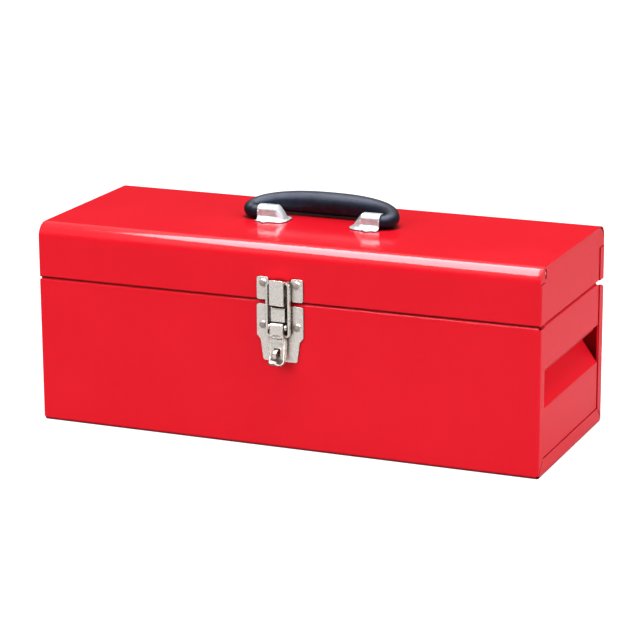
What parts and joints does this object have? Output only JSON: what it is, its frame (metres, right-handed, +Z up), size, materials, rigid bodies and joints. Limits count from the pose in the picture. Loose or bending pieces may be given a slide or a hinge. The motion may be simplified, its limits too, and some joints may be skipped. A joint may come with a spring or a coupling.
{
  "type": "toolbox with lift-out tray",
  "caption": "Folded steel toolbox with a hinged lid, draw latch with padlock eye, folding carry handle, end hand recesses and a lift-out divided tray.",
  "frame": {"origin": "centre of the flat underside", "axes": "+X to the right along the length, -Y to the latch at the front, +Y to the hinge at the back, +Z up"},
  "size_m": [0.484, 0.2038, 0.2101],
  "materials": {
    "red_paint": "gloss enamel",
    "tray_paint": "gloss enamel",
    "nickel_plate": "bright nickel plate",
    "bright_chrome": "polished",
    "zinc_steel": "zinc plate",
    "black_plastic": "satin moulded"
  },
  "bodies": {
    "body": {"body_shell": "red_paint", "end_panel_left": "red_paint", "end_panel_right": "red_paint", "hinge_leaf_body": "zinc_steel", "hinge_pin": "zinc_steel", "hinge_rivets_body": "zinc_steel", "latch_base_plate": "nickel_plate", "latch_base_rivets": "nickel_plate", "latch_pivot_pin": "nickel_plate", "padlock_staple": "nickel_plate"},
    "lid": {"lid_shell": "red_paint", "hinge_leaf_lid": "zinc_steel", "hinge_rivets_lid": "zinc_steel", "latch_keeper": "nickel_plate", "latch_keeper_rivets": "nickel_plate", "handle_bracket_left": "bright_chrome", "handle_bracket_right": "bright_chrome", "handle_bracket_rivets": "bright_chrome", "handle_reinforcement": "zinc_steel"},
    "latch_lever": {"latch_lever": "nickel_plate"},
    "latch_loop": {"latch_loop": "nickel_plate"},
    "handle": {"handle_grip": "black_plastic"},
    "tray": {"tray_pan": "tray_paint", "tray_handle": "tray_paint", "tray_handle_rivets": "zinc_steel", "tray_divider_left": "tray_paint", "tray_divider_right": "tray_paint"}
  },
  "joints": [
    {"name": "lid_hinge", "type": "hinge", "parent": "body", "child": "lid", "pos_m": [0, 0.0895, 0.1334], "axis": [-1, 0, 0], "range_deg": [0, 92]},
    {"name": "latch_pivot", "type": "hinge", "parent": "body", "child": "latch_lever", "pos_m": [0, -0.099, 0.1146], "axis": [-1, 0, 0], "range_deg": [0, 95]},
    {"name": "loop_pivot", "type": "hinge", "parent": "latch_lever", "child": "latch_loop", "pos_m": [0, -0.098, 0.1066], "axis": [-1, 0, 0], "range_deg": [-82, 0]},
    {"name": "handle_pivot", "type": "hinge", "parent": "lid", "child": "handle", "pos_m": [0, 0, 0.1941], "axis": [1, 0, 0], "range_deg": [0, 159]},
    {"name": "tray_lift", "type": "slide", "parent": "body", "child": "tray", "axis": [0, 0, 1], "range_m": [0, 0.052]}
  ],
  "couplings": [
    {"joint": "loop_pivot", "follows": "latch_pivot", "ratio": -0.857}
  ]
}
